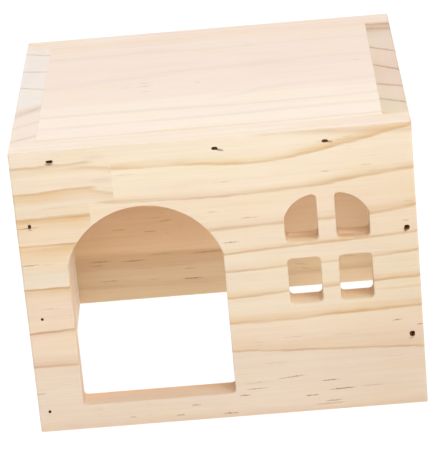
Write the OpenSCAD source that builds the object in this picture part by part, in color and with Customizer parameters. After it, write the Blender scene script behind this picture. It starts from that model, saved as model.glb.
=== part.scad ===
// Wooden hamster house: an open-bottomed box of five pine boards, pinned with brads.
// Origin: centre of the box on the ground. +X to the right of the front, +Y to the back, +Z up.

/* [Box] */
// Width across the front
body_w = 150; // [138:1:220]
// Depth from the front face to the back face
body_d = 130; // [100:1:200]
// Height from the ground to the roof
body_h = 116; // [108:1:180]
// Thickness of the front and back boards
face_t = 10; // [8:0.5:14]
// Thickness of the two side boards
side_t = 10; // [8:0.5:12]
// Thickness of the roof board
roof_t = 10; // [8:0.5:12]
// Radius that sanding leaves on the outer edges of the box
sanded_r = 0.8; // [0.3:0.1:2]

/* [Door] */
// Distance from the front's left edge to the door
door_inset = 17.5; // [13:0.5:26]
// Width of the door
door_w = 59; // [45:0.5:62]
// Height of the sill below the door
sill_h = 10.5; // [6:0.5:12]
// Height of the door's straight jambs
jamb_h = 58.5; // [45:0.5:60]
// Rise of the door's arch over its jambs
door_rise = 22; // [12:0.5:22]
// Radius of the door's two bottom corners
door_corner_r = 1.5; // [0.5:0.1:3]

/* [Window] */
// Distance from the front's right edge to the window
window_inset = 17.8; // [13:0.1:24]
// Width of the whole window
window_w = 32; // [24:0.5:36]
// Height of the window's bottom edge above the ground
window_sill_h = 46; // [30:0.5:55]
// Height of the two lower panes
lower_pane_h = 18.7; // [12:0.1:24]
// Height of the upper panes' straight outer sides
upper_side_h = 9.8; // [7:0.1:13]
// Rise of each upper pane's quarter arch over those sides
window_rise = 8.9; // [6:0.1:10]
// Width of the bars that part the four panes
bar_w = 6.8; // [4:0.1:9]
// Radius of the panes' corners
pane_corner_r = 1.8; // [0.5:0.1:2.5]

/* [Brads] */
// Length of a brad with its head
brad_len = 25; // [18:0.5:30]
// Width of the brad's flat wire
wire_w = 1.2; // [0.9:0.05:1.6]
// Thickness of the brad's flat wire
wire_t = 1; // [0.6:0.05:1.4]
// Width of the head across the wire
head_w = 2; // [1.8:0.1:2.6]
// Height of the head along the brad
head_h = 0.8; // [0.5:0.1:1.2]
// Length of the chisel point
point_len = 2; // [1:0.1:3]
// Depth of the heads below the wood
brad_sink = 1; // [0.5:0.1:1.5]
// Gap between a brad and the wood, all round
brad_gap = 0.03; // [0.02:0.01:0.1]
// Places of the front's roof brads, from the left edge
front_roof_xs = [15, 77, 117.5]; // [13:0.5:124]
// Heights of the front's brads in the left side
front_left_zs = [9, 48, 86.5]; // [5:0.5:95]
// Heights of the front's brads in the right side
front_right_zs = [29.5, 74]; // [5:0.5:95]
// Distance of the back's outer roof brads from the side edges
back_roof_inset = 24; // [16:0.5:40]
// Number of brads from the back into the roof
back_roof_count = 3; // [2:1:5]
// Height of the back's lowest side brads
back_side_low_z = 14; // [5:0.5:30]
// Distance of the back's highest side brads from the top
back_side_top_inset = 28; // [15:0.5:35]
// Number of brads from the back into each side
back_side_count = 3; // [2:1:5]
// Distance of the side brads in the roof from the front and back faces
end_brad_inset = 38; // [32:0.5:45]
// Number of brads from each side into the roof
end_brad_count = 2; // [2:1:3]

/* [Hidden] */

PINE = "#f3e1c8";
ROOF_PINE = "#f8e9da";
STEEL = "#8d857c";

// Reach of a cut past the wood that it opens
cut = 2;
hair = 0.02;
round_fn = 64;
corner_fn = 24;

left_x = -body_w / 2;
right_x = body_w / 2;
front_y = -body_d / 2;
back_y = body_d / 2;
inner_w = body_w - 2 * side_t;
inner_d = body_d - 2 * face_t;

// Middle planes of the boards that the brads enter
left_mid_x = left_x + side_t / 2;
right_mid_x = right_x - side_t / 2;
roof_mid_z = body_h - roof_t / 2;

door_x = left_x + door_inset + door_w / 2;
window_x = right_x - window_inset - window_w / 2;
pane_w = (window_w - bar_w) / 2;
upper_pane_z = window_sill_h + lower_pane_h + bar_w;

// Evenly spread places from a to b
function spread(a, b, count) = [for (i = [0 : count - 1]) a + (b - a) * i / (count - 1)];
// Radius of an arch from its span and its rise
function arch_r(span, rise) = (pow(span / 2, 2) + pow(rise, 2)) / (2 * rise);

// ---- outlines in the plane of the front ----

module rounded_rectangle(w, h, r) {
    translate([r, 0]) square([w - 2 * r, h]);
    translate([0, r]) square([w, h - 2 * r]);
    for (x = [r, w - r], y = [r, h - r]) translate([x, y]) circle(r, $fn = corner_fn);
}

// The wood that a round cutter leaves in the bottom left corner of an opening
module corner_wood(r) {
    difference() {
        translate([-cut, -cut]) square(r + cut);
        translate([r, r]) circle(r, $fn = corner_fn);
    }
}

// Straight sides with an arch over them, its bottom edge centred on the origin
module arched_outline(w, side_h, rise) {
    r = arch_r(w, rise);
    middle_y = side_h + rise - r;
    translate([-w / 2, 0]) square([w, max(middle_y, side_h / 2)]);
    intersection() {
        translate([0, middle_y]) circle(r, $fn = round_fn);
        translate([-w / 2, 0]) square([w, side_h + rise + cut]);
    }
}

module door_outline() {
    difference() {
        arched_outline(door_w, jamb_h, door_rise);
        for (s = [0, 1]) mirror([s, 0]) translate([-door_w / 2, 0]) corner_wood(door_corner_r);
    }
}

// The wood left where the quarter arch meets the upright bar, for the right-hand upper pane.
// Its round crosses the arch by a hair, because two rounds that only touch leave no clean edge.
module tip_wood(arch, arch_z, r) {
    z = sqrt(pow(arch - r + hair, 2) - pow(r, 2));
    reach = (arch + cut / 2) / (arch - r);
    translate([0, arch_z]) difference() {
        polygon([[r, z], [-cut, z], [-cut, arch + cut], [r * reach, arch + cut], [r * reach, z * reach]]);
        translate([r, z]) circle(r, $fn = corner_fn);
    }
}

// The right-hand upper pane; x is measured from the upright bar, y from the bar below it
module upper_pane() {
    arch = arch_r(2 * pane_w, window_rise);
    difference() {
        intersection() {
            arched_outline(2 * pane_w, upper_side_h, window_rise);
            square([pane_w, upper_side_h + window_rise + cut]);
        }
        corner_wood(pane_corner_r);
        translate([pane_w, 0]) mirror([1, 0]) corner_wood(pane_corner_r);
        tip_wood(arch, upper_side_h + window_rise - arch, pane_corner_r);
    }
}

module window_outline() {
    for (s = [0, 1]) mirror([s, 0]) {
        translate([bar_w / 2, window_sill_h]) rounded_rectangle(pane_w, lower_pane_h, pane_corner_r);
        translate([bar_w / 2, upper_pane_z]) upper_pane();
    }
}

// ---- brads ----

// One brad, driven along +Z from the surface at the origin, its wide side along X
module brad() {
    head_z = brad_sink;
    neck_z = head_z + head_h;
    end_z = head_z + brad_len;
    translate([-head_w / 2, -wire_t / 2, head_z]) cube([head_w, wire_t, head_h]);
    rotate([90, 0, 0]) translate([0, 0, -wire_t / 2]) linear_extrude(wire_t) polygon([
        [-wire_w / 2, neck_z], [wire_w / 2, neck_z], [wire_w / 2, end_z - point_len],
        [0, end_z], [-wire_w / 2, end_z - point_len]
    ]);
}

// The hole that a brad leaves: a slot for its head, then one for its wire
module brad_hole() {
    slot_t = wire_t + 2 * brad_gap;
    neck_z = brad_sink + head_h;
    translate([-head_w / 2 - brad_gap, -slot_t / 2, -cut])
        cube([head_w + 2 * brad_gap, slot_t, neck_z + cut]);
    translate([-wire_w / 2 - brad_gap, -slot_t / 2, neck_z - brad_gap])
        cube([wire_w + 2 * brad_gap, slot_t, brad_len - head_h + 2 * brad_gap]);
}

// Turns of a brad that is driven into each face, its wide side along the row
module from_front_across() rotate([-90, 0, 0]) children();
module from_front_upright() rotate([-90, 0, 0]) rotate([0, 0, 90]) children();
module from_back_across() rotate([90, 0, 0]) children();
module from_back_upright() rotate([90, 0, 0]) rotate([0, 0, 90]) children();
module from_left() rotate([0, 90, 0]) rotate([0, 0, 90]) children();
module from_right() rotate([0, -90, 0]) rotate([0, 0, 90]) children();

// Each row places its children, a brad or its hole, at its own joint
module front_roof_row()
    for (x = front_roof_xs) translate([left_x + x, front_y, roof_mid_z]) from_front_across() children();
module front_left_row()
    for (z = front_left_zs) translate([left_mid_x, front_y, z]) from_front_upright() children();
module front_right_row()
    for (z = front_right_zs) translate([right_mid_x, front_y, z]) from_front_upright() children();
module back_roof_row()
    for (x = spread(left_x + back_roof_inset, right_x - back_roof_inset, back_roof_count))
        translate([x, back_y, roof_mid_z]) from_back_across() children();
module back_side_row(x)
    for (z = spread(back_side_low_z, body_h - back_side_top_inset, back_side_count))
        translate([x, back_y, z]) from_back_upright() children();
module end_row(x)
    for (y = spread(front_y + end_brad_inset, back_y - end_brad_inset, end_brad_count))
        translate([x, y, roof_mid_z]) children();

// ---- boards ----

// The whole box, its outer edges sanded round after it was put together
module sanded_box() {
    intersection() {
        translate([left_x, front_y, 0]) linear_extrude(body_h)
            rounded_rectangle(body_w, body_d, sanded_r);
        translate([left_x, back_y, 0]) rotate([90, 0, 0]) linear_extrude(body_d)
            rounded_rectangle(body_w, body_h, sanded_r);
        translate([left_x, front_y, 0]) rotate([90, 0, 90]) linear_extrude(body_w)
            rounded_rectangle(body_d, body_h, sanded_r);
    }
}

module through_front() {
    translate([0, front_y + face_t + cut, 0]) rotate([90, 0, 0]) linear_extrude(face_t + 2 * cut)
        children();
}

module front_board() {
    color(PINE) difference() {
        intersection() {
            translate([left_x, front_y, 0]) cube([body_w, face_t, body_h]);
            sanded_box();
        }
        through_front() translate([door_x, sill_h]) door_outline();
        through_front() translate([window_x, 0]) window_outline();
        front_roof_row() brad_hole();
        front_left_row() brad_hole();
        front_right_row() brad_hole();
    }
}

module back_board() {
    color(PINE) difference() {
        intersection() {
            translate([left_x, back_y - face_t, 0]) cube([body_w, face_t, body_h]);
            sanded_box();
        }
        back_roof_row() brad_hole();
        back_side_row(left_mid_x) brad_hole();
        back_side_row(right_mid_x) brad_hole();
    }
}

module left_side_board() {
    color(PINE) difference() {
        intersection() {
            translate([left_x, front_y + face_t, 0]) cube([side_t, inner_d, body_h]);
            sanded_box();
        }
        front_left_row() brad_hole();
        back_side_row(left_mid_x) brad_hole();
        end_row(left_x) from_left() brad_hole();
    }
}

module right_side_board() {
    color(PINE) difference() {
        intersection() {
            translate([right_x - side_t, front_y + face_t, 0]) cube([side_t, inner_d, body_h]);
            sanded_box();
        }
        front_right_row() brad_hole();
        back_side_row(right_mid_x) brad_hole();
        end_row(right_x) from_right() brad_hole();
    }
}

module roof_board() {
    color(ROOF_PINE) difference() {
        translate([left_x + side_t, front_y + face_t, body_h - roof_t]) cube([inner_w, inner_d, roof_t]);
        front_roof_row() brad_hole();
        back_roof_row() brad_hole();
        end_row(left_x) from_left() brad_hole();
        end_row(right_x) from_right() brad_hole();
    }
}

// ---- brads by the joint that they hold ----

module front_roof_brads() color(STEEL) front_roof_row() brad();
module front_left_brads() color(STEEL) front_left_row() brad();
module front_right_brads() color(STEEL) front_right_row() brad();
module back_roof_brads() color(STEEL) back_roof_row() brad();
module back_left_brads() color(STEEL) back_side_row(left_mid_x) brad();
module back_right_brads() color(STEEL) back_side_row(right_mid_x) brad();
module left_roof_brads() color(STEEL) end_row(left_x) from_left() brad();
module right_roof_brads() color(STEEL) end_row(right_x) from_right() brad();

front_board();
back_board();
left_side_board();
right_side_board();
roof_board();
front_roof_brads();
front_left_brads();
front_right_brads();
back_roof_brads();
back_left_brads();
back_right_brads();
left_roof_brads();
right_roof_brads();
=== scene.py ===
# Wooden hamster house: five pine boards pinned with brads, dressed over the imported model.
import math
import random
from typing import NamedTuple

import bmesh
import bpy
from mathutils import Matrix, Vector


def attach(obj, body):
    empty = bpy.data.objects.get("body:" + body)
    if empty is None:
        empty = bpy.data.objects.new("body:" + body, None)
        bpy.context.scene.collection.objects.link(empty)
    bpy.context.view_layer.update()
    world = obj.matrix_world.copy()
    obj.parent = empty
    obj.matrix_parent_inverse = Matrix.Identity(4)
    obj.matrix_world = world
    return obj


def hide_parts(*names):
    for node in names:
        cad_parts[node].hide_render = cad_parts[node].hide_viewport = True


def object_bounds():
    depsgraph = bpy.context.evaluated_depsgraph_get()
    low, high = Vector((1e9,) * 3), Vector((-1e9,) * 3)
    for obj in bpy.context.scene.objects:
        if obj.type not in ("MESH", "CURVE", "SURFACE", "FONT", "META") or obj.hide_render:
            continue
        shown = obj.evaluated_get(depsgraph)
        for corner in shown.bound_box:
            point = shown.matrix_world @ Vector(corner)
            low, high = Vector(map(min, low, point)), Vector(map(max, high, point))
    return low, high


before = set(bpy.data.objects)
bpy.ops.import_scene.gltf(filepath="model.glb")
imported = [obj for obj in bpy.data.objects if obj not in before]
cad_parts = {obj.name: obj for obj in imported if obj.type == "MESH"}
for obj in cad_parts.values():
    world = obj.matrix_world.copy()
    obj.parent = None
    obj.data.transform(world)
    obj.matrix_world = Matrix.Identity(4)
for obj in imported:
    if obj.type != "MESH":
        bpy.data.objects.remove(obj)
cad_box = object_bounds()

# ---- sizes, in millimetres: +X to the right of the front, +Y to the back, +Z up ----

MM = 0.001
BOX_W, BOX_D, BOX_H = 150, 130, 116
BOARD_T = 10
LEFT_X, RIGHT_X = -BOX_W / 2, BOX_W / 2
FRONT_Y, BACK_Y = -BOX_D / 2, BOX_D / 2
LEFT_MID_X, RIGHT_MID_X = LEFT_X + BOARD_T / 2, RIGHT_X - BOARD_T / 2
ROOF_MID_Z = BOX_H - BOARD_T / 2

# Sanding rounds edges by ARRIS, but by JOINT_ARRIS within JOINT_BAND of the box's outside, where boards meet.
# An edge flush with the front and more than OPENING_INSET inside its outline is an opening's, not a joint's.
ARRIS = 0.35
JOINT_ARRIS = 0.12
ARRIS_STEPS = 3
SHARP_EDGE = math.radians(30)
JOINT_BAND = 0.9
OPENING_INSET = 2
FLUSH = 0.1

BRAD_LEN = 25
BRAD_SINK = 1
WIRE_W, WIRE_T = 1.2, 1.0
HEAD_W, HEAD_H = 2.0, 0.8
POINT_LEN = 2
# Shares of a head's width at its ends, of its height in each corner, and of the wire's width at the point
HEAD_END, HEAD_CORNER, POINT_END = 0.86, 0.2, 0.08

# Where along each joint the brads enter
FRONT_ROOF_XS = (-60, 2, 42.5)
FRONT_LEFT_ZS = (9, 48, 86.5)
FRONT_RIGHT_ZS = (29.5, 74)
BACK_ROOF_XS = (-51, 0, 51)
BACK_SIDE_ZS = (14, 51, 88)
SIDE_ROOF_YS = (-27, 27)

# How far from a brad's line its hole's mouth, its hole's walls and the unsanded wood lie at most. The mouth
# is no deeper than the depth beside it, and the other two are deeper than theirs.
MOUTH_REACH, MOUTH_DEPTH = 1.6, 0.01
HOLE_REACH, HOLE_DEPTH = 1.7, 0.02
UNSANDED_REACH, UNSANDED_DEPTH = 3.5, -0.1

# A mouth is nearly square, cut into short lengths that tear at random, and drawn out into its tail
MOUTH_SQUARENESS = 3.0
MOUTH_CUTS = 3
TEAR_LEAST, TEAR_MOST = 0.92, 1.06
TAIL_SPREAD = 0.25

INTO_FRONT, INTO_BACK = Vector((0, 1, 0)), Vector((0, -1, 0))
INTO_LEFT, INTO_RIGHT = Vector((1, 0, 0)), Vector((-1, 0, 0))
ACROSS, UPRIGHT, ENDWAYS = Vector((1, 0, 0)), Vector((0, 0, 1)), Vector((0, 1, 0))


class Mouth(NamedTuple):
    """The opening of a brad hole at the wood's surface, torn as the brad went in, its tail at an angle."""
    width: float
    height: float
    shift: tuple = (0.0, 0.0)
    tail: float = 0.0
    tail_angle: float = 0.0


class Row(NamedTuple):
    """One joint's brads: the line on which they enter the wood, the way they are driven, and their holes.

    The wide side of each brad lies along that line.
    """
    node: str
    board: str
    start: tuple
    wide: Vector
    steps: tuple
    into: Vector
    mouths: tuple

    @property
    def places(self):
        return [Vector(self.start) + self.wide * step for step in self.steps]


SLOT_MOUTH = Mouth(2.1, 1.1)
UPRIGHT_MOUTH = Mouth(1.1, 2.1)
FRONT_ROOF_MOUTHS = (
    Mouth(2.7, 1.1, (0.2, 0.65)),
    Mouth(2.2, 1.3, (-0.3, 0.6), 1.5, -25),
    Mouth(2.2, 1.3, (0.1, 0.0), 1.5, -10),
)
FRONT_LEFT_MOUTHS = (Mouth(1.2, 1.2, (-0.8, -0.2)), Mouth(1.05, 1.1, (0.6, 0)), Mouth(1.3, 1.8, (0, -0.2)))
FRONT_RIGHT_MOUTHS = (Mouth(2.1, 2.3, (0.6, 0.2)), Mouth(2.1, 2.1, (1.0, -0.3), 1.7, -115))

BRAD_ROWS = (
    Row("front_roof_brads", "front_board", (0, FRONT_Y, ROOF_MID_Z), ACROSS, FRONT_ROOF_XS,
        INTO_FRONT, FRONT_ROOF_MOUTHS),
    Row("front_left_brads", "front_board", (LEFT_MID_X, FRONT_Y, 0), UPRIGHT, FRONT_LEFT_ZS,
        INTO_FRONT, FRONT_LEFT_MOUTHS),
    Row("front_right_brads", "front_board", (RIGHT_MID_X, FRONT_Y, 0), UPRIGHT, FRONT_RIGHT_ZS,
        INTO_FRONT, FRONT_RIGHT_MOUTHS),
    Row("back_roof_brads", "back_board", (0, BACK_Y, ROOF_MID_Z), ACROSS, BACK_ROOF_XS,
        INTO_BACK, (SLOT_MOUTH,) * 3),
    Row("back_left_brads", "back_board", (LEFT_MID_X, BACK_Y, 0), UPRIGHT, BACK_SIDE_ZS,
        INTO_BACK, (UPRIGHT_MOUTH,) * 3),
    Row("back_right_brads", "back_board", (RIGHT_MID_X, BACK_Y, 0), UPRIGHT, BACK_SIDE_ZS,
        INTO_BACK, (UPRIGHT_MOUTH,) * 3),
    Row("left_roof_brads", "left_side_board", (LEFT_X, 0, ROOF_MID_Z), ENDWAYS, SIDE_ROOF_YS,
        INTO_LEFT, (SLOT_MOUTH,) * 2),
    Row("right_roof_brads", "right_side_board", (RIGHT_X, 0, ROOF_MID_Z), ENDWAYS, SIDE_ROOF_YS,
        INTO_RIGHT, (SLOT_MOUTH,) * 2),
)


# ---- colours, as the eye reads them on a scale of 255 ----

def tint(red, green, blue):
    """A colour for a node's socket, from the three parts that the eye reads."""
    def linear(part):
        part /= 255
        return part / 12.92 if part <= 0.04045 else ((part + 0.055) / 1.055) ** 2.4
    return (linear(red), linear(green), linear(blue), 1.0)


WHITE = tint(255, 255, 255)
SAPWOOD_CREAM = tint(247, 229, 203)
SAPWOOD_WARM = tint(242, 220, 193)
SAPWOOD_PINK = tint(231, 210, 188)
SAPWOOD_GREY = tint(238, 219, 192)
SAPWOOD_ROSE = tint(232, 208, 183)
# The front board's bottom edge: darker, partly the timber's tone and partly painted shade
BOTTOM_EDGE = tint(222, 195, 168)
LATEWOOD_AMBER = tint(230, 196, 150)
LATEWOOD_GOLD = tint(234, 203, 152)
LATEWOOD_ORANGE = tint(230, 190, 138)
LATEWOOD_ROSE = tint(225, 188, 155)
LATEWOOD_PEACH = tint(230, 198, 160)
LATEWOOD_SAND = tint(231, 204, 168)
LATEWOOD_GREY = tint(222, 204, 188)
SIDE_LATEWOOD = tint(212, 186, 166)
SIDE_SAND = tint(230, 212, 194)
SIDE_OLIVE = tint(253, 254, 248)
RESIN = tint(150, 104, 72)
HOLE_BROWN, HOLE_TAN = tint(158, 96, 58), tint(186, 128, 84)
WIRE_GREY, WIRE_STAIN = tint(122, 96, 74), tint(92, 60, 40)
CUT_PEACH = tint(244, 207, 172)
RING_EDGE = tint(216, 190, 164)
YELLOWER = tint(254, 253, 243)
BOARD_END_SHADE = tint(251, 249, 246)
TOP_EDGE_CREAM = tint(251, 234, 218)
PINKER = tint(253, 250, 251)


# ---- laying out nodes ----

class Layer(NamedTuple):
    """A layer of noise: its waves to the millimetre along, across and through, and how far it swings."""
    stretch: tuple
    reach: float
    detail: float = 2.0
    roughness: float = 0.5


class Recipe:
    """The nodes of one finish or one repeated piece, added one at a time."""

    def __init__(self, tree):
        self.tree = tree

    def node(self, kind, inputs=None, **settings):
        made = self.tree.nodes.new(kind)
        for name, value in settings.items():
            setattr(made, name, value)
        for socket, value in (inputs or {}).items():
            self.feed(made.inputs[socket], value)
        return made

    def feed(self, socket, value):
        if isinstance(value, bpy.types.NodeSocket):
            self.tree.links.new(value, socket)
        else:
            socket.default_value = value

    def math(self, operation, first, second=0.0, clamp=False):
        kind = "ShaderNodeMath"
        return self.node(kind, {0: first, 1: second}, operation=operation, use_clamp=clamp).outputs[0]

    def times(self, first, *others):
        """The product of all these values."""
        for other in others:
            first = self.math("MULTIPLY", first, other)
        return first

    def vector(self, operation, first, second):
        return self.node("ShaderNodeVectorMath", {0: first, 1: second}, operation=operation).outputs[0]

    def ease(self, value, low, high, start=0.0, end=1.0):
        """start at and below low, end at and above high, and smooth between them."""
        inputs = {"Value": value, "From Min": low, "From Max": high, "To Min": start, "To Max": end}
        return self.node("ShaderNodeMapRange", inputs, interpolation_type="SMOOTHSTEP").outputs[0]

    def scale(self, value, low, high, start=0.0, end=1.0):
        """The same in a straight line, held at both ends."""
        inputs = {"Value": value, "From Min": low, "From Max": high, "To Min": start, "To Max": end}
        return self.node("ShaderNodeMapRange", inputs).outputs[0]

    def blend(self, factor, first, second, way="MIX"):
        inputs = {0: factor, 6: first, 7: second}
        return self.node("ShaderNodeMix", inputs, data_type="RGBA", blend_type=way).outputs[2]

    def split(self, vector):
        """The X, Y and Z parts of a vector."""
        return self.node("ShaderNodeSeparateXYZ", {0: vector}).outputs

    def join(self, x, y, z):
        """The vector with these parts."""
        return self.node("ShaderNodeCombineXYZ", {0: x, 1: y, 2: z}).outputs[0]

    def place(self):
        """Where on the object a point is, in millimetres."""
        return self.vector("MULTIPLY", self.node("ShaderNodeTexCoord").outputs["Object"], (1 / MM,) * 3)

    def noise(self, place, stretch, detail=2.0, roughness=0.5):
        """Noise between 0 and 1, with stretch waves to the millimetre along, across and through."""
        stretched = self.vector("MULTIPLY", place, stretch)
        inputs = {"Vector": stretched, "Scale": 1.0, "Detail": detail, "Roughness": roughness}
        return self.node("ShaderNodeTexNoise", inputs).outputs[0]

    def layer(self, place, layer):
        """A layer of noise, which swings about 0."""
        noise = self.noise(place, layer.stretch, layer.detail, layer.roughness)
        return self.times(self.math("SUBTRACT", noise, 0.5), layer.reach)

    def group(self, tree, **inputs):
        made = self.tree.nodes.new("ShaderNodeGroup")
        made.node_tree = tree
        for name, value in inputs.items():
            self.feed(made.inputs[name.replace("_", " ").capitalize()], value)
        return made.outputs[0]

    def surface(self, inputs):
        """Ends a material's recipe in a Principled surface with these inputs."""
        shader = self.node("ShaderNodeBsdfPrincipled", inputs)
        self.node("ShaderNodeOutputMaterial", {0: shader.outputs[0]})


def open_material(name):
    """An empty material and its recipe."""
    material = bpy.data.materials.new(name)
    material.use_nodes = True
    material.node_tree.nodes.clear()
    return material, Recipe(material.node_tree)


def shader_group(name, inputs, output):
    """An empty shader group: its recipe, its inputs by name, and the feed for its one output."""
    tree = bpy.data.node_groups.new(name, "ShaderNodeTree")
    for label, kind in inputs.items():
        tree.interface.new_socket(label, in_out="INPUT", socket_type="NodeSocket" + kind)
    tree.interface.new_socket(output[0], in_out="OUTPUT", socket_type="NodeSocket" + output[1])
    recipe = Recipe(tree)
    entry = recipe.node("NodeGroupInput")
    leave = recipe.node("NodeGroupOutput")
    return recipe, entry.outputs, leave.inputs[0]


# ---- what pine is made of: groups that every board's finish shares ----

def layer_group(name, *layers):
    """A group that adds up layers of noise."""
    recipe, given, result = shader_group(name, {"Place": "Vector"}, ("Amount", "Float"))
    total = 0.0
    for layer in layers:
        total = recipe.math("ADD", total, recipe.layer(given["Place"], layer))
    recipe.feed(result, total)
    return recipe.tree


# Where a ring's line is darkest, and the shares of its softness at which its band is full and its line over
LINE_MIDDLE = 0.1
BAND_FULL, LINE_OVER = 0.7, 2.4
BAND_CURVE = 1.1


def ring_group():
    """Lays one growth ring on the wood: a soft line at 0 and a band that fades away over its width."""
    inputs = {
        "Wood": "Color", "Distance": "Float", "Width": "Float", "Softness": "Float", "Late wood": "Color",
        "Band": "Float", "Edge": "Float", "Echo": "Float",
    }
    recipe, given, result = shader_group("Growth ring", inputs, ("Wood", "Color"))
    distance, softness = given["Distance"], given["Softness"]
    echo = recipe.math("ADD", given["Echo"], 1.0)
    outside = recipe.times(softness, -1.0)

    begins = recipe.ease(distance, outside, recipe.times(softness, BAND_FULL))
    fading = recipe.math("SUBTRACT", 1.0, recipe.math("DIVIDE", distance, given["Width"]), clamp=True)
    band = recipe.times(begins, recipe.math("POWER", fading, BAND_CURVE), given["Band"])
    band = recipe.math("MULTIPLY", band, echo, clamp=True)
    wood = recipe.blend(band, given["Wood"], given["Late wood"])

    darkens = recipe.ease(distance, outside, LINE_MIDDLE)
    clears = recipe.ease(distance, LINE_MIDDLE, recipe.times(softness, LINE_OVER), 1.0, 0.0)
    line = recipe.times(darkens, clears, given["Edge"])
    line = recipe.math("MULTIPLY", line, echo, clamp=True)
    recipe.feed(result, recipe.blend(line, wood, RING_EDGE, "MULTIPLY"))
    return recipe.tree


# A dash fades out at these shares of its length and its thickness from its middle
DASH_END, DASH_SIDE = 0.68, 0.5


def streak_group():
    """Lays one resin streak on the wood: a short dark dash along the grain."""
    inputs = {
        "Wood": "Color", "Along": "Float", "Across": "Float", "Middle": "Float", "Height": "Float",
        "Length": "Float", "Thickness": "Float", "Slope": "Float", "Strength": "Float",
    }
    recipe, given, result = shader_group("Resin streak", inputs, ("Wood", "Color"))
    along = recipe.math("SUBTRACT", given["Along"], given["Middle"])
    rise = recipe.times(along, given["Slope"])
    across = recipe.math("SUBTRACT", recipe.math("SUBTRACT", given["Across"], given["Height"]), rise)
    along = recipe.math("DIVIDE", along, recipe.times(given["Length"], DASH_END))
    across = recipe.math("DIVIDE", across, recipe.times(given["Thickness"], DASH_SIDE))
    reach = recipe.math("ADD", recipe.math("POWER", along, 2.0), recipe.math("POWER", across, 2.0))
    dash = recipe.times(recipe.ease(reach, 0.0, 1.0, 1.0, 0.0), given["Strength"])
    recipe.feed(result, recipe.blend(dash, given["Wood"], RESIN))
    return recipe.tree


def fleck_group():
    """Small resin flecks strewn along the grain, 0 to 1."""
    recipe, given, result = shader_group("Resin flecks", {"Place": "Vector"}, ("Amount", "Float"))
    dashes = recipe.noise(given["Place"], (0.13, 2.1, 2.1), 1.0)
    clusters = recipe.noise(given["Place"], (0.02, 0.05, 0.05), 1.0)
    recipe.feed(result, recipe.times(recipe.ease(dashes, 0.66, 0.8), recipe.ease(clusters, 0.44, 0.62)))
    return recipe.tree


# The light and dark, about -1 to 1, of the long fibres and of the end grain's pores and rays
FIBRES = layer_group("Pine fibres", Layer((0.03, 1.4, 1.4), 2.2, 4.0, 0.65), Layer((0.012, 0.4, 0.4), 1.8))
END_PORES = layer_group("End pores", Layer((0.5, 4.0, 4.0), 2.0, 3.0, 0.65), Layer((0.05, 0.5, 3.0), 2.0))
# How far, in millimetres, a growth ring strays from its smooth line, and how much its strength changes
WANDER = layer_group("Ring wander", Layer((0.03, 0.05, 0.05), 1.0, 1.0), Layer((0.16, 0.5, 0.5), 0.9))
RING_ECHOES = layer_group("Ring echoes", Layer((0.012, 1.1, 1.1), 1.7), Layer((0.05, 0.12, 0.12), 1.5, 1.0))
# Large soft clouds, -1 where the wood is pinker and 1 where it is yellower
WOOD_CLOUDS = layer_group("Wood clouds", Layer((0.03, 0.09, 0.09), 3.0))
GROWTH_RING = ring_group()
RESIN_STREAK = streak_group()
RESIN_FLECKS = fleck_group()

# Past every board's end, in millimetres, and the least length over which a ring that ends fades out
FAR = 200.0
LEAST_FADE_OUT = 5


class Ring(NamedTuple):
    """A growth ring on a board's face. Its line runs through (along, across) in millimetres.

    Its band fades away upwards across the grain, or downwards where fades is -1, and it leans with the depth.
    """
    line: tuple
    width: float
    band: float
    edge: float
    colour: tuple = LATEWOOD_AMBER
    fades: int = 1
    lean: float = 0.3
    softness: float = 0.6
    starts: float = -FAR
    ends: float = FAR
    fade_in: float = 1.5


class Streak(NamedTuple):
    """A resin streak: its middle, its length and its slope."""
    along: float
    across: float
    length: float
    slope: float = 0.03
    strength: float = 0.6
    thickness: float = 0.55


class Board(NamedTuple):
    """Places on a board as sockets, in millimetres along, across and through its grain.

    Noise is read at place, strayed is across with the rings' wander, and end_grain and flat_face are 1 on the
    faces that they name.
    """
    recipe: Recipe
    along: object
    across: object
    through: object
    place: object
    strayed: object
    end_grain: object
    flat_face: object


X, Y, Z = range(3)

# How far apart in the noise the boards lie, so that no two have the same grain
BOARD_STEP = (300.0, 170.0, 90.0)


def open_board(name, along, across, through, start, seed):
    """Starts a board's finish, for the axes that its grain follows. Its depth is measured from start."""
    material, recipe = open_material(name)
    parts = recipe.split(recipe.place())
    facing = recipe.split(recipe.node("ShaderNodeNewGeometry").outputs["Normal"])
    depth = recipe.math("SUBTRACT", parts[through], start)
    grain = recipe.join(parts[along], parts[across], depth)
    grain = recipe.vector("ADD", grain, [seed * step for step in BOARD_STEP])
    return material, Board(
        recipe, parts[along], parts[across], depth, grain,
        recipe.math("ADD", parts[across], recipe.group(WANDER, place=grain)),
        recipe.ease(recipe.math("ABSOLUTE", facing[along]), 0.6, 0.85),
        recipe.ease(recipe.math("ABSOLUTE", facing[through]), 0.3, 0.6),
    )


def tones(board, stops):
    """The wood's ground colour, which changes across the board through these stops. On the front board and
    the back board's heart side the stops also hold painted shade.
    """
    low, high = stops[0][0], stops[-1][0]
    ramp = board.recipe.node("ShaderNodeValToRGB", {0: board.recipe.scale(board.strayed, low, high)})
    elements = ramp.color_ramp.elements
    while len(elements) < len(stops):
        elements.new(0.5)
    for element, (height, colour) in zip(elements, stops):
        element.position = (height - low) / (high - low)
        element.color = colour
    return ramp.outputs[0]


# The rise that a level line is given, so that nothing is divided by 0
LEAST_RISE = 0.001


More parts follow.
